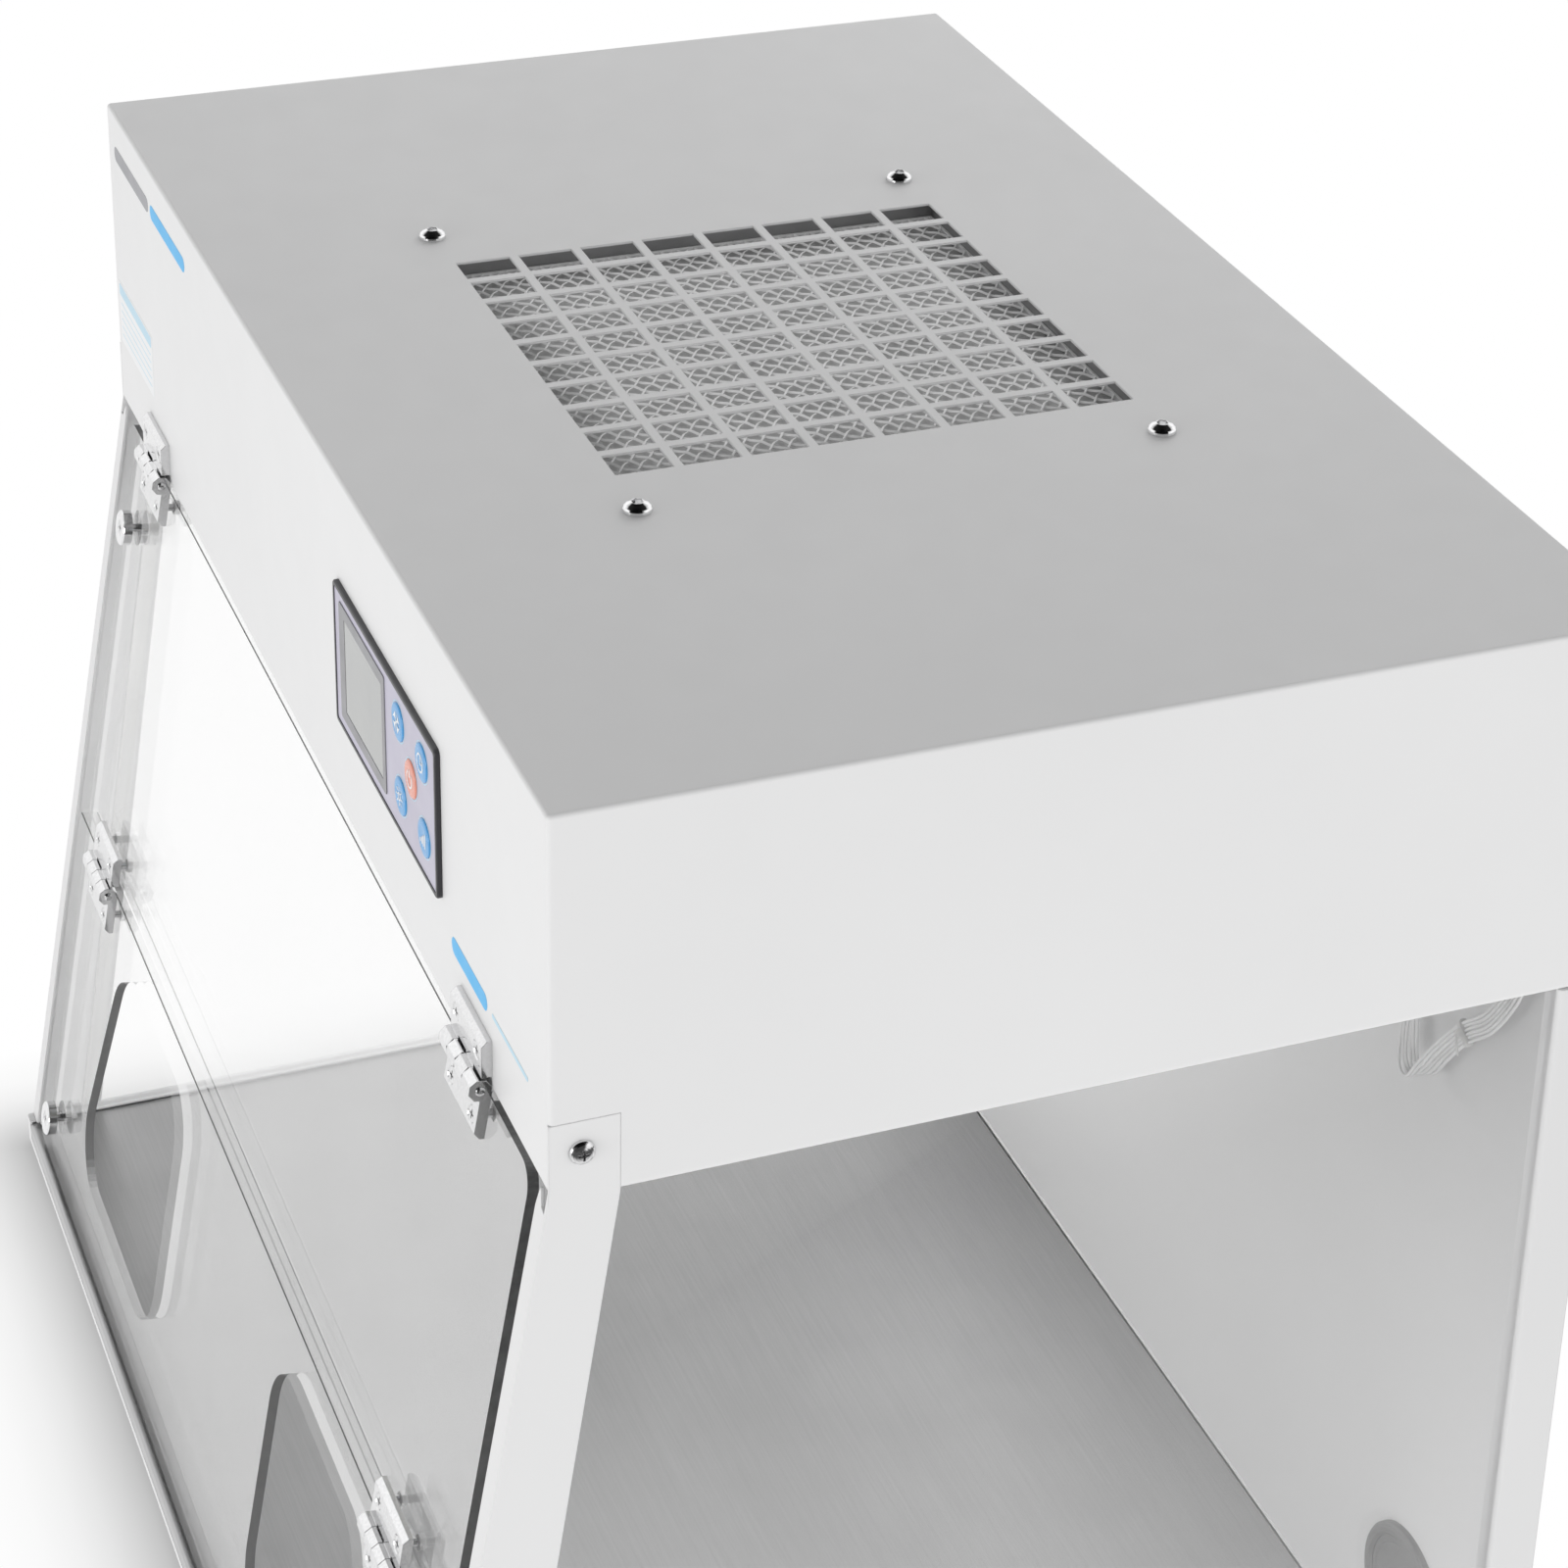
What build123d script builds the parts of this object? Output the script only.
"""Ventilated bench cabinet with a folding sloped window, as solid pieces in millimetres.

X runs to the right seen from the front, Y to the rear and Z up; the feet stand on Z = 0.
X = 0 is the middle of the width. Each piece is written to parts/NAME.step.
"""
from build123d import *
import os
from math import sin, cos, radians, pi

# ---------------------------------------------------------------- driving dimensions
WIDTH = 800.0            # casing and base
HALF = WIDTH / 2
CASE_FRONT = -206.0      # front face of the upper casing
BACK = 290.0             # rear face of casing, rear panel and base
BASE_FRONT = -290.0      # front face of the base
CASE_TOP = 676.0
CASE_SIDE_Z = 493.0      # lower edge of the casing sides
CASE_SKIRT_Z = 499.0     # lower edge of the casing front
STEP_Y = -175.4          # where the lower edge steps from skirt to side height
SHEET = 1.2              # casing sheet
SHEET2 = 1.5             # post, base and panel sheet
FLANGE = 15.0            # inward return flange of the casing
CEILING_Z = CASE_SIDE_Z + SHEET
FILTER_Z = CEILING_Z + SHEET2

FLOOR_Z = 20.0           # work surface
RIM_Z = 22.0
TRAY_Z = 5.0
RIM_W = 8.0
REAR_FACE = 265.0        # front face of the rear panel

GRILLE_Y = 42.5          # centre of grille, filter, duct and fan
SLOT_NX, SLOT_NY = 10, 8
SLOT_PX, SLOT_PY = 25.9, 32.9
SLOT_W, SLOT_H = 20.6, 28.2

# fastener positions: (x, y) unless noted
TOP_SCREW_Y = 40.5
TOP_SCREWS = [(x, TOP_SCREW_Y + dy) for x in (-163.0, 163.0) for dy in (-129.0, 129.0)]
FAN_SCREWS = [(x, GRILLE_Y + dy) for x in (-139.0, 139.0) for dy in (-141.5, 141.5)]
REAR_SCREWS = [(x, 279.0) for x in (-340, 0, 340)]
POST_FOOT_SCREWS = [(x, -272.0) for x in (-394.5, 394.5)]
FEET = [(x, y) for x in (-360, 360) for y in (-250, 250)]
POST_SCREW_Y, POST_SCREW_Z = -191.9, 516.0
POST_TAB_TOP = 531.0     # top of the post tab on the casing side
FRAME_SCREW_HOLE_R = 2.1

# folding window
THETA = 9.6              # slope from the vertical, degrees
PIN_Y, PIN_Z = -211.5, 498.5
PIN_OFF = 5.5            # pin axis in front of the mounting faces
PANE_T = 5.0
PANE_X = 378.0           # half width
UP_S0, UP_S1 = 4.0, 256.75         # upper pane, distances down the slope from the pin
LOW_S0, LOW_S1 = 258.5, 481.5      # lower pane
JOINT_S = 257.5
MAGNET_X, MAGNET_DS = -352.0, 197.0
UP_MAGNET_S = JOINT_S - MAGNET_DS
LOW_MAGNET_S = JOINT_S + MAGNET_DS

# hinges
HINGE_XS = (-300.0, 300.0)
HINGE_LEN = 45.0
LEAF_REACH = 24.0
LEAF_T = 5.0
LEAF_ROOT = 6.3          # pin axis to the near edge of the leaf plate
LEAF_BEVEL = 2.6
LEAF_SCREW_U = 16.0      # pin axis to the screw row
LEAF_SCREW_DXS = (-15, 15)
LEAF_SCREW_XS = [x + dx for x in HINGE_XS for dx in LEAF_SCREW_DXS]
SCREW_TAIL = 3.4         # screw length beyond the sheet or pane
KNUCKLE_GAP = 0.12       # taken off each knuckle end that faces another
BARREL = 10.0
PIN_R = 2.25
PIN_HOLE_R = 2.30

# rectangles (x0, x1, z0, z1) on the casing front and back
PANEL = (84.0, 251.0, 549.0, 623.0)
PANEL_CUTOUT = (90.5, 244.5, 555.5, 616.6)
LCD = (103.6, 166.0, 562.5, 610.5)
INLET = (286.0, 314.0, 575.0, 595.4)
KEY_R = 8.95
KEY_HOLE_R = KEY_R + 0.05
KEYS = {                 # centres (x, z)
    "key_fan": (192.6, 606.0),
    "key_timer": (229.6, 606.0),
    "key_power": (212.0, 588.0),
    "key_lamp": (194.6, 569.5),
    "key_speed": (231.6, 569.5),
}
PORT_X, PORT_Z = 330.0, 89.0

os.makedirs("parts", exist_ok=True)

# ---------------------------------------------------------------- sloped frame of the window
SLOPE_SIN, SLOPE_COS = sin(radians(THETA)), cos(radians(THETA))
NORMAL = Vector(0, -SLOPE_COS, SLOPE_SIN)      # outward normal of the window
DOWN = Vector(0, -SLOPE_SIN, -SLOPE_COS)       # down the slope
UP = Vector(0, 0, 1)
FRONT = Vector(0, -1, 0)
PIN = Vector(0, PIN_Y, PIN_Z)
JOINT = PIN + DOWN * JOINT_S
FACE0 = PIN - NORMAL * PIN_OFF   # point on the front face of the pane, level with the pin

# leaf seats: pin centre, direction along the leaf, outward direction
CASING_SEAT = (PIN, UP, FRONT)
UPPER_SEAT = (PIN, DOWN, NORMAL)
FOLD_UPPER_SEAT = (JOINT, DOWN * -1, NORMAL)
FOLD_LOWER_SEAT = (JOINT, DOWN, NORMAL)


def slope_point(x, s, t=0.0):
    """Point s down the slope and t in front of the pane's face."""
    return FACE0 + Vector(x, 0, 0) + DOWN * s + NORMAL * t


def window_plane(t=0.0):
    """Plane with x along +X and y up the slope, so distance s is y = -s."""
    return Plane(origin=FACE0 + NORMAL * t, x_dir=(1, 0, 0), z_dir=NORMAL)


def front_plane(x, z, out=0.0):
    """Plane facing the front, a distance out before the casing front."""
    return Plane(origin=(x, CASE_FRONT - out, z), x_dir=(1, 0, 0), z_dir=(0, -1, 0))


# ---------------------------------------------------------------- shared builders
# A sketch made inside a helper does not join the caller's part, so it is passed on explicitly.
def lathe(plane, points, mode=Mode.ADD):
    """Revolve a closed (radius, height) outline about the plane's normal."""
    side_plane = Plane(
        origin=plane.origin, x_dir=plane.x_dir, z_dir=plane.x_dir.cross(plane.z_dir))
    with BuildSketch(side_plane) as outline:
        with BuildLine():
            Polyline(*points, close=True)
        make_face()
    revolve(outline.sketch, axis=Axis(plane.origin, plane.z_dir), mode=mode)


def slab(x0, x1, y0, y1, z0, z1, mode=Mode.ADD):
    """Box between limits; x0 and x1 may come in either order, for mirrored pairs."""
    with Locations(((x0 + x1) / 2, (y0 + y1) / 2, (z0 + z1) / 2)):
        Box(abs(x1 - x0), y1 - y0, z1 - z0, mode=mode)


def level_slab(rect, inset, z0, z1, mode=Mode.ADD):
    """Box over the rectangle (x0, x1, y0, y1) drawn in by inset."""
    x0, x1, y0, y1 = rect
    slab(x0 + inset, x1 - inset, y0 + inset, y1 - inset, z0, z1, mode=mode)


def wall_slab(rect, inset, y0, y1, mode=Mode.ADD):
    """Box over the upright rectangle (x0, x1, z0, z1) drawn in by inset."""
    x0, x1, z0, z1 = rect
    slab(x0 + inset, x1 - inset, y0, y1, z0 + inset, z1 - inset, mode=mode)


def at_z(points, z):
    return [(x, y, z) for x, y in points]


def drill(places, radius, length):
    """Cut cylinders centred on the given points or planes."""
    with Locations(*places):
        Cylinder(radius, length, mode=Mode.SUBTRACT)


def drill_post_screw(x):
    drill([Plane(origin=(x, POST_SCREW_Y, POST_SCREW_Z), z_dir=(1, 0, 0))], 3.2, 8)


def domed_screw(plane, length, shank_r=2.0, head_r=3.7, edge=0.2, rise=2.2, steps=6):
    """Screw whose head stands on the plane, its dome starting at height edge."""
    angles = [i * pi / 2 / steps for i in range(steps)]
    dome = [(head_r * cos(a), edge + rise * sin(a)) for a in angles] + [(0, edge + rise)]
    lathe(plane, [(0, -length), (shank_r, -length), (shank_r, 0), (head_r, 0)] + dome)


def cross_recess(plane, length, width, depth):
    with Locations(plane.offset(-depth / 2 + 0.05)):
        Box(length, width, depth, mode=Mode.SUBTRACT)
        Box(width, length, depth, mode=Mode.SUBTRACT)


def write(builder, label):
    builder.part.label = label
    export_step(builder.part, f"parts/{label}.step")


# ---------------------------------------------------------------- upper casing
def casing_profile(inset):
    """Side view (y, z) of the casing, drawn in by inset."""
    return [
        (CASE_FRONT + inset, CASE_SKIRT_Z + inset), (CASE_FRONT + inset, CASE_TOP - inset),
        (BACK - inset, CASE_TOP - inset), (BACK - inset, CASE_SIDE_Z + inset),
        (STEP_Y + inset, CASE_SIDE_Z + inset), (STEP_Y + inset, CASE_SKIRT_Z + inset),
    ]


def is_case_corner(edge):
    middle = edge.center()
    at_end = abs(middle.Y - CASE_FRONT) < 1 or abs(middle.Y - BACK) < 1
    return abs(middle.X) > HALF - 1 and at_end


FOLD_FILL = 2.4          # leg of the triangular fill inside the side folds

with BuildPart() as upper_casing:
    with BuildSketch(Plane.YZ):
        with BuildLine():
            Polyline(*casing_profile(0), close=True)
        make_face()
    extrude(amount=HALF, both=True)
    # folded edges: the four upright corners, the edges round the top, the foot of the sides
    fillet(upper_casing.edges().filter_by(Axis.Z).filter_by(is_case_corner), 2.2)
    top_edges = upper_casing.edges().filter_by(
        lambda e: e.center().Z > CASE_TOP - 1.2 and e.length > 1)
    fillet(top_edges, 2.0)
    side_foot_edges = upper_casing.edges().filter_by(Axis.Y).filter_by(
        lambda e: abs(e.center().Z - CASE_SIDE_Z) < 0.1)
    fillet(side_foot_edges, 3.2)
    with BuildSketch(Plane.YZ):
        with BuildLine():
            Polyline(*casing_profile(SHEET), close=True)
        make_face()
    extrude(amount=HALF - SHEET, both=True, mode=Mode.SUBTRACT)
    # the hollow thins the metal behind the rounded side folds, so its corners are filled
    for side in (-1, 1):
        with BuildSketch(Plane.XZ.offset(-BACK + SHEET)):
            with BuildLine():
                Polyline((side * (HALF - SHEET), CEILING_Z),
                         (side * (HALF - SHEET - FOLD_FILL), CEILING_Z),
                         (side * (HALF - SHEET), CEILING_Z + FOLD_FILL), close=True)
            make_face()
        extrude(amount=BACK - SHEET - (STEP_Y + SHEET))
    # opening of the underside, inside the return flanges
    slab(-HALF + FLANGE, HALF - FLANGE, CASE_FRONT + FLANGE, BACK - FLANGE,
         CASE_SIDE_Z - 1, CASE_SKIRT_Z + 3, mode=Mode.SUBTRACT)
    # corner brackets, with the side cut back to seat the post tabs
    for side in (-1, 1):
        slab(side * 397.0, side * 398.9, CASE_FRONT + SHEET, -160,
             CASE_SKIRT_Z + SHEET, 546)
        slab(side * (HALF - SHEET2 - 0.05), side * (HALF + 1), CASE_FRONT - 1, STEP_Y + 0.05,
             CASE_SIDE_Z - 2, POST_TAB_TOP + 0.1, mode=Mode.SUBTRACT)
        drill_post_screw(side * 397.5)
    # exhaust grille
    with BuildSketch(Plane.XY.offset(CASE_TOP - 3)):
        with Locations((0, GRILLE_Y)):
            with GridLocations(SLOT_PX, SLOT_PY, SLOT_NX, SLOT_NY):
                Rectangle(SLOT_W, SLOT_H)
    extrude(amount=5, mode=Mode.SUBTRACT)
    drill(at_z(TOP_SCREWS, CASE_TOP - 1), 4.2, 6)
    # cut-out behind the control panel
    wall_slab(PANEL_CUTOUT, 0, CASE_FRONT - 1, CASE_FRONT + 3, mode=Mode.SUBTRACT)
    # screw holes of the window hinges
    drill([front_plane(x, PIN_Z + LEAF_SCREW_U) for x in LEAF_SCREW_XS], 2.1, 6)
    # mains inlet cut-out in the back
    wall_slab(INLET, 0, BACK - 4, BACK + 2, mode=Mode.SUBTRACT)
    # screw holes of the rear panel in the back flange
    drill(at_z(REAR_SCREWS, CASE_SIDE_Z), FRAME_SCREW_HOLE_R, 6)
write(upper_casing, "upper_casing")

# ---------------------------------------------------------------- ceiling plate
CEILING_X = 396.5        # half width
CEILING_FRONT = -188.0
FILTER_OPENING = 350

with BuildPart() as ceiling_plate:
    slab(-CEILING_X, CEILING_X, CEILING_FRONT, BACK - 3, CEILING_Z, FILTER_Z)
    # upturned front lip
    slab(-CEILING_X, CEILING_X, -190.4, CEILING_FRONT, CEILING_Z + 0.3, 512.0)
    with BuildSketch(Plane.XY.offset(CASE_SIDE_Z)):
        with Locations((0, GRILLE_Y)):
            RectangleRounded(FILTER_OPENING, FILTER_OPENING, 6)
    extrude(amount=10, mode=Mode.SUBTRACT)
    drill(at_z(REAR_SCREWS, CASE_SIDE_Z + 2), FRAME_SCREW_HOLE_R, 6)
    # cable entry in the rear right corner
    with Locations((352.0, 250.0, CASE_SIDE_Z + 2)):
        Box(116, 14, 12, mode=Mode.SUBTRACT)
    for side in (-1, 1):
        # clearance to the side folds of the casing
        slab(side * 394.0, side * HALF, -188.5, BACK, CASE_SIDE_Z, CASE_SIDE_Z + 6,
             mode=Mode.SUBTRACT)
        # notched corners beside the post tabs
        slab(side * 384.4, side * HALF, -192, -173.8, CASE_SIDE_Z, 520, mode=Mode.SUBTRACT)
write(ceiling_plate, "ceiling_plate")

# ---------------------------------------------------------------- front posts
# front rim (x, height up the slope) in the plane of the window, with a bend relief at its top
POST_RIM = [
    (388.0, -12.0), (389.2, -6.0), (390.6, -2.0), (391.6, -3.2), (394.5, -9.0),
    (398.2, -10.0), (400.0, -10.0), (400.0, -481.9), (388.0, -481.9),
]


def post_web(side):
    bottom = slope_point(0, (FACE0.Z - RIM_Z) / SLOPE_COS)
    outer_x = side * HALF
    with BuildSketch(Plane.YZ.offset(min(outer_x, outer_x - side * SHEET2))) as web:
        with BuildLine():
            Polyline((CASE_FRONT, POST_TAB_TOP), (STEP_Y, POST_TAB_TOP), (STEP_Y, 491.4),
                     (-244.9, RIM_Z), (bottom.Y, RIM_Z), (FACE0.Y, FACE0.Z),
                     (CASE_FRONT, CASE_SKIRT_Z), close=True)
        make_face()
    extrude(web.sketch, amount=SHEET2)


def post_flanges(side):
    with BuildSketch(window_plane(-SHEET2)) as rim:
        with BuildLine():
            Polyline(*[(side * x, y) for x, y in POST_RIM], close=True)
        make_face()
    extrude(rim.sketch, amount=SHEET2)
    # foot resting on the base rim
    slab(side * 386.0, side * HALF, -284.5, -262.0, RIM_Z, RIM_Z + SHEET2)
    drill([(side * 394.5, -272.0, RIM_Z)], 2.2, 8)


for name, side in (("left", -1), ("right", 1)):
    with BuildPart() as front_post:
        post_web(side)
        post_flanges(side)
        drill_post_screw(side * HALF)
        fold_edges = front_post.edges().filter_by(
            lambda e: e.length > 400 and abs(e.center().X - side * HALF) < 0.2)
        fillet(fold_edges, 0.7)
    write(front_post, f"{name}_front_post")

# ---------------------------------------------------------------- rear panel
with BuildPart() as rear_panel:
    slab(-HALF, HALF, REAR_FACE, BACK, RIM_Z, CASE_SIDE_Z)
    front_corners = rear_panel.edges().filter_by(Axis.Z).filter_by(
        lambda e: e.center().Y < REAR_FACE + 1)
    fillet(front_corners, 2.5)
    # hollow, open to the rear
    slab(-HALF + SHEET2, HALF - SHEET2, REAR_FACE + SHEET2, BACK + 1,
         RIM_Z + SHEET2, CASE_SIDE_Z - SHEET2, mode=Mode.SUBTRACT)
    drill([Plane(origin=(PORT_X, REAR_FACE, PORT_Z), z_dir=(0, 1, 0))], 31.5, 10)
    drill(at_z(REAR_SCREWS, RIM_Z) + at_z(REAR_SCREWS, CASE_SIDE_Z), FRAME_SCREW_HOLE_R, 8)
write(rear_panel, "rear_panel")

# ---------------------------------------------------------------- base tray
BASE = (-HALF, HALF, BASE_FRONT, BACK)
STIFFENER_Y = 20.0       # half width
STIFFENER_X = 380        # half length

with BuildPart() as base_tray:
    level_slab(BASE, 0, TRAY_Z, RIM_Z)
    fillet(base_tray.edges().filter_by(Axis.Z), 2.0)
    level_slab(BASE, SHEET2, TRAY_Z + SHEET2, RIM_Z - SHEET2, mode=Mode.SUBTRACT)
    # open top between the side rims and the rear rim
    slab(-HALF + RIM_W, HALF - RIM_W, BASE_FRONT - 1, REAR_FACE - 0.5,
         TRAY_Z + SHEET2, RIM_Z + 1, mode=Mode.SUBTRACT)
    # the front wall is only a low hem
    slab(-HALF + RIM_W, HALF - RIM_W, BASE_FRONT, BASE_FRONT + SHEET2, TRAY_Z + 1, 9.6)
    # hat stiffeners on the floor of the tray
    for y in (-200, -70, 70, 200):
        slab(-STIFFENER_X, STIFFENER_X, y - STIFFENER_Y, y + STIFFENER_Y,
             TRAY_Z + 1, FLOOR_Z - SHEET2)
        slab(-STIFFENER_X - 1, STIFFENER_X + 1,
             y - STIFFENER_Y + SHEET, y + STIFFENER_Y - SHEET,
             TRAY_Z + SHEET2, FLOOR_Z - SHEET2 - SHEET, mode=Mode.SUBTRACT)
    drill(at_z(POST_FOOT_SCREWS, RIM_Z - 1), 2.2, 6)
    drill(at_z(REAR_SCREWS, RIM_Z - 1), FRAME_SCREW_HOLE_R, 6)
    drill(at_z(FEET, TRAY_Z), 2.6, 6)
write(base_tray, "base_tray")

# ---------------------------------------------------------------- work surface
SURFACE_X = HALF - RIM_W - 0.6
SURFACE = (-SURFACE_X, SURFACE_X, BASE_FRONT, REAR_FACE - 1.2)

with BuildPart() as work_surface:
    level_slab(SURFACE, 0, 10.4, FLOOR_Z)
    front_top_edge = work_surface.edges().filter_by(Axis.X).filter_by(
        lambda e: e.center().Z > 19 and e.center().Y < -280)
    fillet(front_top_edge, 2.4)
    level_slab(SURFACE, SHEET2, 9.0, FLOOR_Z - SHEET2, mode=Mode.SUBTRACT)
    # the side and rear edges are folded down less far than the front edge
    slab(-SURFACE_X - 1, SURFACE_X + 1, BASE_FRONT + 8, REAR_FACE, 9.0, 12.0,
         mode=Mode.SUBTRACT)
write(work_surface, "work_surface")

# ---------------------------------------------------------------- clear side panes, taped to posts
SIDE_PANE_T = 4.0
TAPE_T = 1.0
TAPE_X = HALF - SHEET2 - TAPE_T / 2                # middle of the tape
SIDE_PANE_X = TAPE_X - TAPE_T / 2 - SIDE_PANE_T / 2
SIDE_PANE_OUTLINE = [    # (y, z)
    (-187.6, 492.4), (REAR_FACE - 0.4, 492.4),
    (REAR_FACE - 0.4, RIM_Z + 0.1), (-257.6, RIM_Z + 0.1),
]
TAPE_OUTLINE = [(-187.0, 488.0), (-179.0, 488.0), (-247.8, 24.0), (-256.0, 24.0)]   # (y, z)

for name, side in (("left", -1), ("right", 1)):
    with BuildPart() as side_pane:
        with BuildSketch(Plane.YZ.offset(side * SIDE_PANE_X - SIDE_PANE_T / 2)):
            with BuildLine():
                Polyline(*SIDE_PANE_OUTLINE, close=True)
            make_face()
        extrude(amount=SIDE_PANE_T)
    write(side_pane, f"{name}_side_pane")

with BuildPart() as pane_tape:
    for side in (-1, 1):
        with BuildSketch(Plane.YZ.offset(side * TAPE_X - TAPE_T / 2)):
            with BuildLine():
                Polyline(*TAPE_OUTLINE, close=True)
            make_face()
        extrude(amount=TAPE_T)
write(pane_tape, "pane_tape")

# ---------------------------------------------------------------- feet and frame fasteners
FOOT_PROFILE = [         # (radius, height)
    (0, 0), (12.5, 0), (14.5, 0.8), (15.5, TRAY_Z), (2.6, TRAY_Z),
    (2.6, TRAY_Z + 4), (0, TRAY_Z + 4),
]
TOP_SCREW_PROFILE = [    # (radius, height above the casing top)
    (0, -18), (3.4, -18), (4.0, -17.2), (4.0, 0), (7.0, 0), (7.0, 0.7),
    *[(7.0 * cos(a) ** 0.9, 0.7 + 3.8 * sin(a)) for a in (0.25, 0.5, 0.75, 1.0)],
    (2.9, 4.5), (0, 4.5),
]

with BuildPart() as rubber_feet:
    for x, y in FEET:
        lathe(Plane(origin=(x, y, 0)), FOOT_PROFILE)
write(rubber_feet, "rubber_feet")

with BuildPart() as top_screws:
    for x, y in TOP_SCREWS:
        lathe(Plane(origin=(x, y, CASE_TOP)), TOP_SCREW_PROFILE)
        # hexagon socket
        with BuildSketch(Plane(origin=(x, y, CASE_TOP + 1.9))):
            RegularPolygon(2.89, 6)
        extrude(amount=4, mode=Mode.SUBTRACT)
write(top_screws, "top_screws")

with BuildPart() as post_screws:
    for side in (-1, 1):
        seat = Plane(origin=(side * HALF, POST_SCREW_Y, POST_SCREW_Z),
                     x_dir=(0, 1, 0), z_dir=(side, 0, 0))
        domed_screw(seat, 12, shank_r=3.0, head_r=5.75, edge=0.4, rise=3.2, steps=7)
        cross_recess(seat.offset(3.6), 5.2, 1.0, 2.4)
write(post_screws, "post_screws")

with BuildPart() as frame_screws:
    # (position, head direction along Z)
    upward = [(p, 1) for p in at_z(POST_FOOT_SCREWS + REAR_SCREWS, RIM_Z + SHEET2)]
    downward = [(p, -1) for p in at_z(REAR_SCREWS, CASE_SIDE_Z - SHEET2)]
    for position, head in upward + downward:
        seat = Plane(origin=position, x_dir=(1, 0, 0), z_dir=(0, 0, head))
        domed_screw(seat, 8)
        cross_recess(seat.offset(2.4), 3.6, 0.8, 1.6)
write(frame_screws, "frame_screws")

# ---------------------------------------------------------------- air filter above the chamber
FILTER_SIZE = 380
GASKET_T = 3.3
PLEATS = 22
PLEATED_W = 354.0
MEDIA_DEPTH = 355.0
MEDIA_T = 4.5            # measured upright
PLEAT_LOW, PLEAT_HIGH = FILTER_Z + 6.5, FILTER_Z + 42.0

with BuildPart() as filter_gasket:
    with BuildSketch(Plane.XY.offset(FILTER_Z)):
        with Locations((0, GRILLE_Y)):
            Rectangle(FILTER_SIZE, FILTER_SIZE)
            Rectangle(352, 352, mode=Mode.SUBTRACT)
    extrude(amount=GASKET_T)
write(filter_gasket, "filter_gasket")

with BuildPart() as filter_frame:
    with BuildSketch(Plane.XY.offset(FILTER_Z + GASKET_T)):
        with Locations((0, GRILLE_Y)):
            RectangleRounded(FILTER_SIZE, FILTER_SIZE, 4)
            Rectangle(356, 356, mode=Mode.SUBTRACT)
    extrude(amount=46)
write(filter_frame, "filter_frame")

with BuildPart() as filter_media:
    zigzag = [(-PLEATED_W / 2 + i * PLEATED_W / PLEATS / 2, PLEAT_HIGH if i % 2 else PLEAT_LOW)
              for i in range(2 * PLEATS + 1)]
    with BuildSketch(Plane.XZ.offset(-(GRILLE_Y + MEDIA_DEPTH / 2))):
        with BuildLine():
            Polyline(*zigzag, *[(x, z + MEDIA_T) for x, z in reversed(zigzag)], close=True)
        make_face()
    extrude(amount=MEDIA_DEPTH)
write(filter_media, "filter_media")

# ---------------------------------------------------------------- exhaust duct, pad, guard mesh
FAN_Z0, FAN_Z1 = 560.0, 625.0
DUCT_X, DUCT_Y = 129.5, 132.0      # half sizes inside the duct
DUCT = (-DUCT_X, DUCT_X, GRILLE_Y - DUCT_Y, GRILLE_Y + DUCT_Y)
DUCT_FIT = 0.3           # gap round the pad and mesh
PAD_Z0, PAD_Z1 = 657.2, 665.2
MESH_Z0, MESH_Z1 = 666.8, 668.0

with BuildPart() as exhaust_duct:
    level_slab(DUCT, -SHEET, FAN_Z1, CASE_TOP - SHEET)
    # top plate under the casing and flange on the fan
    slab(-184, 184, TOP_SCREW_Y - 150, TOP_SCREW_Y + 150,
         CASE_TOP - 2 * SHEET, CASE_TOP - SHEET)
    level_slab(DUCT, -18, FAN_Z1, FAN_Z1 + SHEET)
    # bosses for the top screws
    with Locations(*at_z(TOP_SCREWS, CASE_TOP - SHEET - 4.5)):
        Cylinder(7.5, 9)
    level_slab(DUCT, 0, FAN_Z1 - 1, CASE_TOP, mode=Mode.SUBTRACT)
    # ledge that carries the pad and the mesh
    with BuildSketch(Plane.XY.offset(PAD_Z0 - SHEET)):
        with Locations((0, GRILLE_Y)):
            Rectangle(2 * DUCT_X + 1, 2 * DUCT_Y + 1)
            Rectangle(2 * DUCT_X - 12, 2 * DUCT_Y - 12, mode=Mode.SUBTRACT)
    extrude(amount=SHEET)
    drill(at_z(TOP_SCREWS, CASE_TOP - 6), 4.1, 14)
    drill(at_z(FAN_SCREWS, FAN_Z1), FRAME_SCREW_HOLE_R, 6)
write(exhaust_duct, "exhaust_duct")

with BuildPart() as exhaust_pad:
    level_slab(DUCT, DUCT_FIT, PAD_Z0, PAD_Z1)
write(exhaust_pad, "exhaust_pad")

with BuildPart() as guard_mesh:
    level_slab(DUCT, DUCT_FIT, MESH_Z0, MESH_Z1)
    # diamond cut, drawn once under each of two grids
    with BuildSketch(Plane.XY.offset(MESH_Z0 - 0.6)):
        for count_x, count_y in ((15, 9), (14, 8)):
            with Locations((0, GRILLE_Y)):
                with GridLocations(17.0, 28.4, count_x, count_y):
                    with BuildLine():
                        Polyline((-7.0, 0), (0, -12.2), (7.0, 0), (0, 12.2), close=True)
                    make_face()
    extrude(amount=3, mode=Mode.SUBTRACT)
    # folded side rims that stand on the pad
    for side in (-1, 1):
        slab(side * (DUCT_X - DUCT_FIT), side * (DUCT_X - 1.5),
             DUCT[2] + DUCT_FIT, DUCT[3] - DUCT_FIT, PAD_Z1, MESH_Z1)
write(guard_mesh, "guard_mesh")

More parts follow.
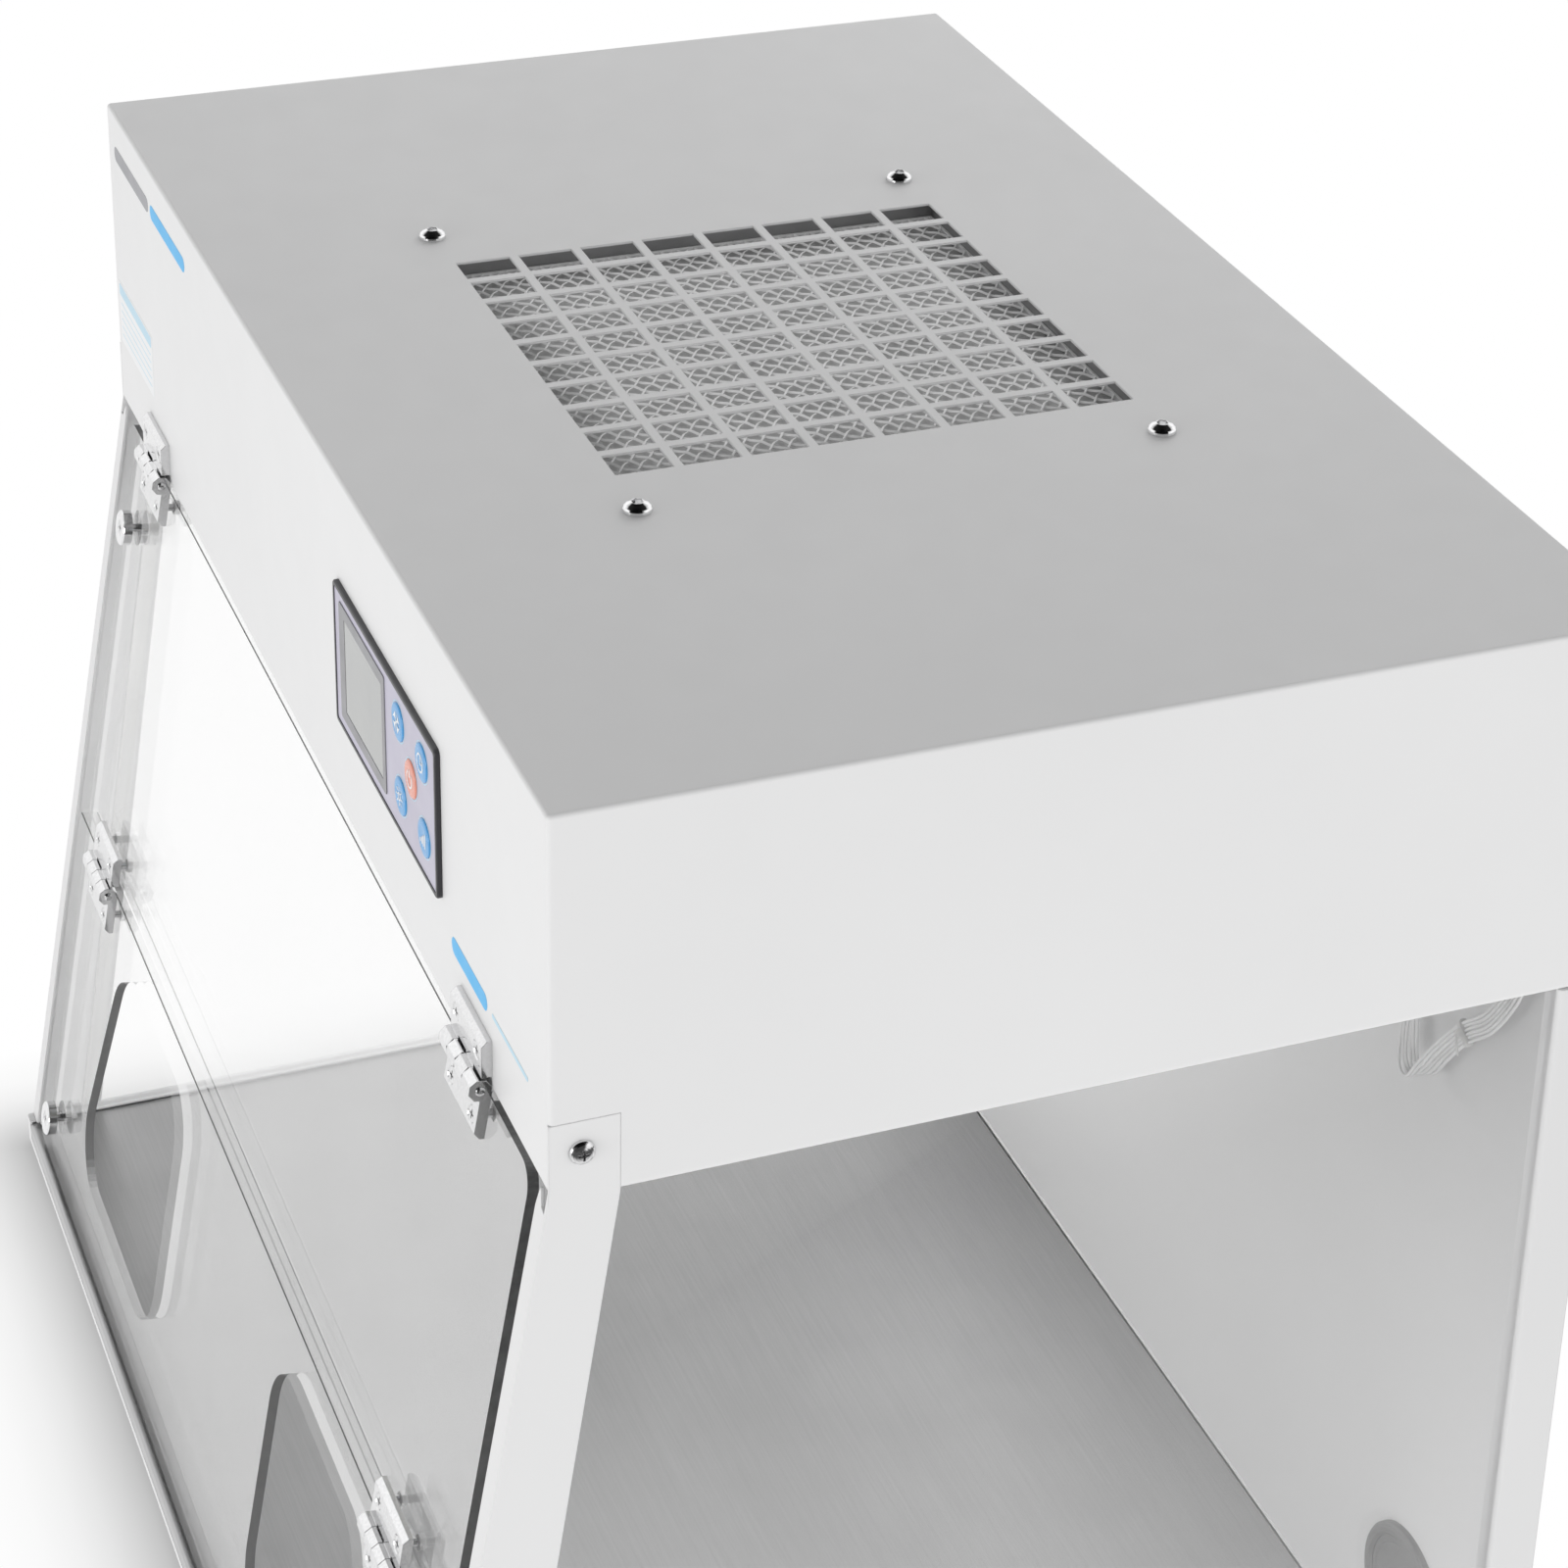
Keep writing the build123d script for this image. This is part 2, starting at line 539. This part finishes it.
# ---------------------------------------------------------------- exhaust fan
FAN_R = 116.0            # inside the housing ring
SPOKE_W = 9
FAN_FLANGE_T = 3
FAN_AXIS = Plane(origin=(0, GRILLE_Y, FAN_Z0))
# (radius, height above FAN_Z0)
MOTOR_PROFILE = [
    (3.05, 6), (33, 6), (34, 7), (34, 24), (31, 27), (8, 27), (8, 31), (3.05, 31),
]
SHAFT_PROFILE = [(0, 7), (3.0, 7), (3.0, 56), (2.4, 57), (0, 57)]
HUB_PROFILE = [
    (3.0, 34), (9, 34), (9, 48), (33, 48), (33, 33), (36, 33), (36, 50), (34, 52), (3.0, 52),
]
BLADES = 7
BLADE_STATIONS = [       # (radius, pitch angle in degrees, chord)
    (34.5, 42, 30),
    (74, 32, 44),
    (112.5, 24, 54),
]

with BuildPart() as fan_housing:
    with BuildSketch(Plane.XY.offset(FAN_Z1 - FAN_FLANGE_T)):
        with Locations((0, GRILLE_Y)):
            RectangleRounded(294, 299, 8)
    extrude(amount=FAN_FLANGE_T)
    with Locations((0, GRILLE_Y, (FAN_Z0 + FAN_Z1) / 2)):
        Cylinder(FAN_R + 4, FAN_Z1 - FAN_Z0)
        Cylinder(FAN_R, FAN_Z1 - FAN_Z0 + 2, mode=Mode.SUBTRACT)
    # spider with the motor seat
    with BuildSketch(Plane.XY.offset(FAN_Z0)):
        with Locations((0, GRILLE_Y)):
            Circle(40)
            Rectangle(2 * FAN_R + 4, SPOKE_W)
            Rectangle(SPOKE_W, 2 * FAN_R + 4)
    extrude(amount=6)
    drill(at_z(FAN_SCREWS, FAN_Z1), FRAME_SCREW_HOLE_R, 12)
write(fan_housing, "fan_housing")

with BuildPart() as fan_motor:
    lathe(FAN_AXIS, MOTOR_PROFILE)
write(fan_motor, "fan_motor")

with BuildPart() as fan_shaft:
    lathe(FAN_AXIS, SHAFT_PROFILE)
write(fan_shaft, "fan_shaft")

with BuildPart() as fan_impeller:
    lathe(FAN_AXIS, HUB_PROFILE)
    for k in range(BLADES):
        angle = 2 * pi * k / BLADES
        radial = Vector(cos(angle), sin(angle), 0)
        tangent = Vector(-sin(angle), cos(angle), 0)
        for radius, pitch, chord in BLADE_STATIONS:
            chord_dir = tangent * cos(radians(pitch)) + Vector(0, 0, sin(radians(pitch)))
            station = Plane(origin=Vector(0, GRILLE_Y, FAN_Z0 + 41) + radial * radius,
                            x_dir=chord_dir, z_dir=radial)
            camber = chord * 0.08
            with BuildSketch(station):
                with BuildLine():
                    Spline((-chord / 2, 0), (0, camber + 1.1), (chord / 2, 0))
                    Spline((chord / 2, 0), (0, camber - 1.1), (-chord / 2, 0))
                make_face()
        loft()
write(fan_impeller, "fan_impeller")

with BuildPart() as fan_screws:
    for position in at_z(FAN_SCREWS, FAN_Z1 - FAN_FLANGE_T):
        domed_screw(Plane(origin=position, x_dir=(1, 0, 0), z_dir=(0, 0, -1)), 9)
write(fan_screws, "fan_screws")

# ---------------------------------------------------------------- chamber lamp
LAMP = (-240, 240, -152, -122)

with BuildPart() as lamp_housing:
    level_slab(LAMP, 0, CEILING_Z - 15, CEILING_Z)
    level_slab(LAMP, 1.5, CEILING_Z - 16, CEILING_Z - 1.5, mode=Mode.SUBTRACT)
    # light strip carrier
    slab(-232, 232, -142, -132, CEILING_Z - 4.2, CEILING_Z - 1.4)
write(lamp_housing, "lamp_housing")

with BuildPart() as lamp_diffuser:
    level_slab(LAMP, 1.7, CEILING_Z - 17.5, CEILING_Z - 13)
    lower_edges = lamp_diffuser.edges().filter_by(Axis.X).filter_by(
        lambda e: e.center().Z < CEILING_Z - 17)
    fillet(lower_edges, 3.0)
    level_slab(LAMP, 3.2, CEILING_Z - 15.5, CEILING_Z - 12, mode=Mode.SUBTRACT)
write(lamp_diffuser, "lamp_diffuser")

# ---------------------------------------------------------------- cable loop at the rear right
# (x, z, twist in degrees): the flat bundle turns over round its lowest point
CABLE = [
    (373.0, 499.0, 0), (371.0, 474.0, 0), (346.0, 437.0, 0), (312.0, 394.0, 80),
    (299.0, 397.0, 100), (300.0, 430.0, 180), (306.0, 499.0, 180),
]
STRANDS = 6
STRAND_PITCH = 3.25
STRAND_R = 1.4
CABLE_Y, CABLE_END_Y = 253.5, 250.0

with BuildPart() as cable_bundle:
    for k in range(STRANDS):
        offset = (k - (STRANDS - 1) / 2) * STRAND_PITCH
        points = []
        for i, (x, z, twist) in enumerate(CABLE):
            before, after = CABLE[max(i - 1, 0)], CABLE[min(i + 1, len(CABLE) - 1)]
            dx, dz = after[0] - before[0], after[1] - before[1]
            span = (dx * dx + dz * dz) ** 0.5
            flat = offset * cos(radians(twist))
            y = CABLE_Y if 0 < i < len(CABLE) - 1 else CABLE_END_Y
            points.append((x - flat * dz / span, y + offset * sin(radians(twist)),
                           z + flat * dx / span))
        with BuildLine() as path:
            Polyline(*points)
        with BuildSketch(Plane(origin=path.line @ 0, z_dir=path.line % 0)) as strand:
            Circle(STRAND_R)
        sweep(strand.sketch, path=path.line, transition=Transition.RIGHT)
write(cable_bundle, "cable_bundle")

with BuildPart() as cable_tie:
    tie = Plane(origin=(344.5, CABLE_Y, 435.0), x_dir=(0.70, 0, -0.71), z_dir=(0.71, 0, 0.70))
    with BuildSketch(tie.offset(-1.6)):
        RectangleRounded(23.4, 7.6, 3.4)
        RectangleRounded(20.6, 5.4, 2.6, mode=Mode.SUBTRACT)
    extrude(amount=3.2)
    # head of the tie
    with Locations(tie):
        with Locations((0, -4.6, 0)):
            Box(4.6, 3.2, 4.4)
write(cable_tie, "cable_tie")

# ---------------------------------------------------------------- rear port
PORT = Plane(origin=(PORT_X, REAR_FACE, PORT_Z), x_dir=(1, 0, 0), z_dir=(0, -1, 0))
# (radius, height in front of the rear panel)
GROMMET_PROFILE = [
    (29.6, -14), (31.3, -14), (31.3, 0), (36.25, 0), (36.25, 2.9),
    (35.2, 4.3), (33.6, 4.8), (31.2, 4.6), (30.3, 3.6), (29.6, 3.0),
]
LOCK_RING_PROFILE = [(31.2, -5.5), (36.0, -5.5), (36.0, -1.6), (31.2, -1.6)]
PLUG_PROFILE = [
    (0, 0.6), (27.6, 0.6), (27.6, -8), (29.54, -8), (29.54, 2.4),
    (28.9, 3.0), (26.6, 3.1), (25.6, 2.5), (0, 2.3),
]

with BuildPart() as port_grommet:
    lathe(PORT, GROMMET_PROFILE)
    lathe(PORT, LOCK_RING_PROFILE)
write(port_grommet, "port_grommet")

with BuildPart() as port_plug:
    lathe(PORT, PLUG_PROFILE)
write(port_plug, "port_plug")

# ---------------------------------------------------------------- mains inlet
# mounted from inside the back of the casing
INLET_PINS = [(293.0, 583.2), (300.0, 587.2), (307.0, 583.2)]      # centres (x, z)

with BuildPart() as power_inlet:
    slab(275.0, 325.0, BACK - SHEET - 3, BACK - SHEET, 572.0, 598.4)
    wall_slab(INLET, 0.4, BACK - SHEET - 24, BACK - 0.2)
    wall_slab(INLET, 2.4, BACK - 16, BACK + 1, mode=Mode.SUBTRACT)
    for x, z in INLET_PINS:
        slab(x - 1, x + 1, BACK - 17, BACK - 3, z - 2, z + 2)
write(power_inlet, "power_inlet")

# ---------------------------------------------------------------- control panel
PANEL_W, PANEL_H = PANEL[1] - PANEL[0], PANEL[3] - PANEL[2]
PANEL_CX, PANEL_CZ = (PANEL[0] + PANEL[1]) / 2, (PANEL[2] + PANEL[3]) / 2
BEZEL_T = 2.5
LCD_FRAME_CX, LCD_FRAME_CZ = 132.75, 586.5
KEY_PROFILE = [          # (radius, height in front of the casing)
    (0, -1.2), (9.6, -1.2), (9.6, -0.12), (KEY_R, -0.12), (KEY_R, 2.4),
    (KEY_R - 0.5, 2.85), (KEY_R - 2.6, 3.1), (0, 2.75),
]


def is_bezel_rim(edge):
    """Outer edges of the bezel's front face."""
    middle = edge.center()
    outside = (abs(middle.X - PANEL_CX) > PANEL_W / 2 - 1
               or abs(middle.Z - PANEL_CZ) > PANEL_H / 2 - 1)
    return abs(middle.Y - (CASE_FRONT - BEZEL_T)) < 0.01 and outside


with BuildPart() as control_bezel:
    with BuildSketch(front_plane(PANEL_CX, PANEL_CZ)):
        RectangleRounded(PANEL_W, PANEL_H, 3.0)
        RectangleRounded(PANEL_W - 4.6, PANEL_H - 4.6, 1.6, mode=Mode.SUBTRACT)
    extrude(amount=BEZEL_T)
    chamfer(control_bezel.edges().filter_by(is_bezel_rim), 0.6)
write(control_bezel, "control_bezel")

with BuildPart() as control_overlay:
    with BuildSketch(front_plane(PANEL_CX, PANEL_CZ, 0.02)):
        RectangleRounded(PANEL_W - 4.8, PANEL_H - 4.8, 1.6)
    extrude(amount=2.08)
    wall_slab(LCD, -0.1, CASE_FRONT - 3, CASE_FRONT + 1, mode=Mode.SUBTRACT)
    for x, z in KEYS.values():
        drill([front_plane(x, z, 1)], KEY_HOLE_R, 4)
write(control_overlay, "control_overlay")

with BuildPart() as lcd_frame:
    with BuildSketch(front_plane(LCD_FRAME_CX, LCD_FRAME_CZ, 2.1)):
        RectangleRounded(76.1, 60.0, 1.5)
        with Locations(((LCD[0] + LCD[1]) / 2 - LCD_FRAME_CX,
                        (LCD[2] + LCD[3]) / 2 - LCD_FRAME_CZ)):
            Rectangle(LCD[1] - LCD[0] + 0.2, LCD[3] - LCD[2] + 0.2, mode=Mode.SUBTRACT)
    extrude(amount=0.5)
write(lcd_frame, "lcd_frame")

with BuildPart() as lcd_lens:
    wall_slab(LCD, 0, CASE_FRONT - 2.45, CASE_FRONT - 0.9)
write(lcd_lens, "lcd_lens")

with BuildPart() as control_board:
    # display module and its raised glass
    wall_slab(LCD, -4, CASE_FRONT + 0.1, CASE_FRONT + 6.0)
    wall_slab(LCD, 1, CASE_FRONT - 0.9, CASE_FRONT + 0.2)
    # board
    slab(92.0, 243.0, CASE_FRONT + 8.0, CASE_FRONT + 9.6, 557.0, 615.0)
    # a switch with a round plunger behind each key
    for x, z in KEYS.values():
        slab(x - 3, x + 3, CASE_FRONT + 4.4, CASE_FRONT + 8.05, z - 3, z + 3)
        with Locations(front_plane(x, z, -3.4)):
            Cylinder(1.7, 2.2)
    # block behind the board, and the block joining board and display
    slab(120, 150, CASE_FRONT + 9.5, CASE_FRONT + 14, 580, 592)
    slab(110, 160, CASE_FRONT + 6.0, CASE_FRONT + 8.05, 570, 600)
write(control_board, "control_board")

for name, (x, z) in KEYS.items():
    with BuildPart() as key:
        lathe(front_plane(x, z), KEY_PROFILE)
    write(key, name)

# ---------------------------------------------------------------- hinge builders
LEAF_FRONT = LEAF_T - PIN_OFF    # outer face of a leaf, measured outwards from the pin axis


def leaf_plane(pin, along, out, x, level, facing=1):
    """Plane at a leaf screw, level outwards from the mounting face."""
    origin = pin + Vector(x, 0, 0) + along * LEAF_SCREW_U + out * (level - PIN_OFF)
    return Plane(origin=origin, x_dir=(1, 0, 0), z_dir=out * facing)


def leaf(pin, along, out, first, hole_r):
    """Both leaves of a seat, each with two of the four knuckles, starting at index first.

    The sketches run from the pin along the leaf (x) and outwards (y).
    """
    x_sign = 1 if along.cross(out).X > 0 else -1
    x_axis = Vector(x_sign, 0, 0)
    step = HINGE_LEN / 4
    for hinge_x in HINGE_XS:
        start = Plane(origin=pin + Vector(hinge_x - x_sign * HINGE_LEN / 2, 0, 0),
                      x_dir=along, z_dir=x_axis)
        with BuildSketch(start) as plate:
            with BuildLine():
                Polyline((LEAF_ROOT, -PIN_OFF), (LEAF_REACH, -PIN_OFF),
                         (LEAF_REACH, LEAF_FRONT - LEAF_BEVEL),
                         (LEAF_REACH - LEAF_BEVEL, LEAF_FRONT),
                         (LEAF_ROOT, LEAF_FRONT), close=True)
            make_face()
        extrude(plate.sketch, amount=HINGE_LEN)
        for k in range(first, 4, 2):
            low = hinge_x - HINGE_LEN / 2 + k * step
            x0 = low + (0.0 if k == 0 else KNUCKLE_GAP)
            x1 = low + step - (0.0 if k == 3 else KNUCKLE_GAP)
            origin = Vector(x0 if x_sign > 0 else x1, pin.Y, pin.Z)
            with BuildSketch(Plane(origin=origin, x_dir=along, z_dir=x_axis)) as knuckle:
                RegularPolygon(BARREL / 2, 8, major_radius=False, rotation=22.5)
                with BuildLine():
                    Polyline((0, -PIN_OFF), (6.6, -PIN_OFF), (6.6, LEAF_FRONT),
                             (0, LEAF_FRONT + 0.5), close=True)
                make_face()
                Circle(hole_r, mode=Mode.SUBTRACT)
            extrude(knuckle.sketch, amount=x1 - x0)
        # countersunk fixing holes
        for dx in LEAF_SCREW_DXS:
            lathe(leaf_plane(pin, along, out, hinge_x + dx, LEAF_T),
                  [(0, -6), (2.15, -6), (2.15, -2.2), (4.5, 0), (4.5, 1), (0, 1)],
                  mode=Mode.SUBTRACT)


def leaf_screws(pin, along, out, thickness):
    """Countersunk screws through a leaf and the sheet or pane behind it."""
    end = -LEAF_T - thickness - SCREW_TAIL
    for x in LEAF_SCREW_XS:
        face = leaf_plane(pin, along, out, x, LEAF_T)
        lathe(face, [(0, end), (2.0, end), (2.0, -2.25), (3.78, -0.62), (3.78, -0.45),
                     (3.5, -0.35), (0, -0.3)])
        cross_recess(face.offset(-0.3), 4.4, 0.9, 1.7)


def leaf_nuts(pin, along, out, thickness):
    for x in LEAF_SCREW_XS:
        with BuildSketch(leaf_plane(pin, along, out, x, -thickness, facing=-1)) as nut:
            RegularPolygon(3.5, 6, major_radius=False)
            Circle(2.0, mode=Mode.SUBTRACT)
        extrude(nut.sketch, amount=3.0)


def leaf_holes(pin, along, out):
    for x in LEAF_SCREW_XS:
        drill([leaf_plane(pin, along, out, x, 0)], 2.15, 20)


def hinge_pins(pin):
    for hinge_x in HINGE_XS:
        end = Plane(origin=pin + Vector(hinge_x - HINGE_LEN / 2 - 0.35, 0, 0),
                    x_dir=(0, 1, 0), z_dir=(1, 0, 0))
        lathe(end, [(0, 0), (1.75, 0), (PIN_R, 0.4), (PIN_R, HINGE_LEN + 0.3),
                    (1.75, HINGE_LEN + 0.7), (0, HINGE_LEN + 0.7)])


# ---------------------------------------------------------------- window builders
MAGNET_T = 5.4
MAGNET_PROFILE = [       # (radius, height before the pane)
    (2.6, 0), (10.0, 0), (10.0, 4.7), (9.3, MAGNET_T), (4.6, MAGNET_T), (2.6, 3.6),
]
BACKING_PROFILE = [      # (radius, height behind the pane)
    (2.6, 0), (10.0, 0), (10.0, 3.8), (9.3, 4.5), (2.6, 4.5),
]
MAGNET_SCREW_PROFILE = [  # (radius, height above the magnet's face)
    (0, -15.4), (2.4, -15.4), (2.4, -1.9), (4.03, -0.45), (4.03, -0.3), (0, -0.2),
]
TOP_TWO, BOTTOM_TWO = slice(-2, None), slice(None, 2)    # in a list sorted by height


def magnet_plane(s, t=0.0, facing=1):
    return Plane(origin=slope_point(MAGNET_X, s, t), x_dir=(1, 0, 0), z_dir=NORMAL * facing)


def magnet_screw(s):
    face = magnet_plane(s, MAGNET_T)
    lathe(face, MAGNET_SCREW_PROFILE)
    cross_recess(face.offset(-0.2), 4.2, 0.9, 1.4)


def window_blank(pane, s0, s1, free_end, fold_end):
    """Pane from s0 to s1, with large corners at its free end and small ones at the fold."""
    with BuildSketch(window_plane(-PANE_T)) as outline:
        with Locations((0, -(s0 + s1) / 2)):
            Rectangle(2 * PANE_X, s1 - s0)
    extrude(outline.sketch, amount=PANE_T)
    for end, radius in ((free_end, 12.0), (fold_end, 1.5)):
        across = pane.edges().filter_by(lambda e: abs(e.length - PANE_T) < 0.01)
        fillet(across.sort_by(Axis.Z)[end], radius)


# ---------------------------------------------------------------- hinge leaves and pins
# seat, index of the first knuckle, bore radius
LEAVES = {
    "casing_hinge_leaves": (CASING_SEAT, 0, PIN_HOLE_R),
    "upper_hinge_leaves": (UPPER_SEAT, 1, PIN_R),
    "fold_hinge_upper_leaves": (FOLD_UPPER_SEAT, 0, PIN_HOLE_R),
    "fold_hinge_lower_leaves": (FOLD_LOWER_SEAT, 1, PIN_R),
}
for name, (seat, first, hole_r) in LEAVES.items():
    with BuildPart() as leaves:
        leaf(*seat, first, hole_r)
    write(leaves, name)

for name, centre in (("upper_hinge_pins", PIN), ("fold_hinge_pins", JOINT)):
    with BuildPart() as pins:
        hinge_pins(centre)
    write(pins, name)

with BuildPart() as casing_hinge_screws:
    leaf_screws(*CASING_SEAT, SHEET)
write(casing_hinge_screws, "casing_hinge_screws")

with BuildPart() as casing_hinge_nuts:
    leaf_nuts(*CASING_SEAT, SHEET)
write(casing_hinge_nuts, "casing_hinge_nuts")

# ---------------------------------------------------------------- upper and lower window
ARM_OPENING = [          # (x, height up the slope) of the right-hand arm opening
    (106.0, -289.5), (252.0, -289.5), (291.5, -441.0), (106.0, -441.0),
]

with BuildPart() as upper_window:
    window_blank(upper_window, UP_S0, UP_S1, free_end=TOP_TWO, fold_end=BOTTOM_TWO)
    leaf_holes(*UPPER_SEAT)
    leaf_holes(*FOLD_UPPER_SEAT)
    drill([magnet_plane(UP_MAGNET_S)], 2.6, 20)
write(upper_window, "upper_window")

with BuildPart() as lower_window:
    window_blank(lower_window, LOW_S0, LOW_S1, free_end=BOTTOM_TWO, fold_end=TOP_TWO)
    for side in (-1, 1):
        with BuildSketch(window_plane(-PANE_T - 1)) as arm:
            with BuildLine():
                Polyline(*[(side * x, y) for x, y in ARM_OPENING], close=True)
            make_face()
            fillet(arm.vertices().group_by(Axis.Y)[-1], 30.0)
            fillet(arm.vertices().group_by(Axis.Y)[0], 34.0)
        extrude(amount=PANE_T + 2, mode=Mode.SUBTRACT)
    leaf_holes(*FOLD_LOWER_SEAT)
    drill([magnet_plane(LOW_MAGNET_S)], 2.6, 20)
write(lower_window, "lower_window")

# ---------------------------------------------------------------- what rides on each window
for name, seats, magnet_s in (
    ("upper", (UPPER_SEAT, FOLD_UPPER_SEAT), UP_MAGNET_S),
    ("lower", (FOLD_LOWER_SEAT,), LOW_MAGNET_S),
):
    with BuildPart() as window_screws:
        for seat in seats:
            leaf_screws(*seat, PANE_T)
        magnet_screw(magnet_s)
    write(window_screws, f"{name}_window_screws")

    with BuildPart() as window_nuts:
        for seat in seats:
            leaf_nuts(*seat, PANE_T)
    write(window_nuts, f"{name}_window_nuts")

    with BuildPart() as fold_magnet:
        lathe(magnet_plane(magnet_s), MAGNET_PROFILE)
    write(fold_magnet, f"{name}_fold_magnet")

    with BuildPart() as magnet_backing:
        lathe(magnet_plane(magnet_s, -PANE_T, facing=-1), BACKING_PROFILE)
    write(magnet_backing, f"{name}_magnet_backing")
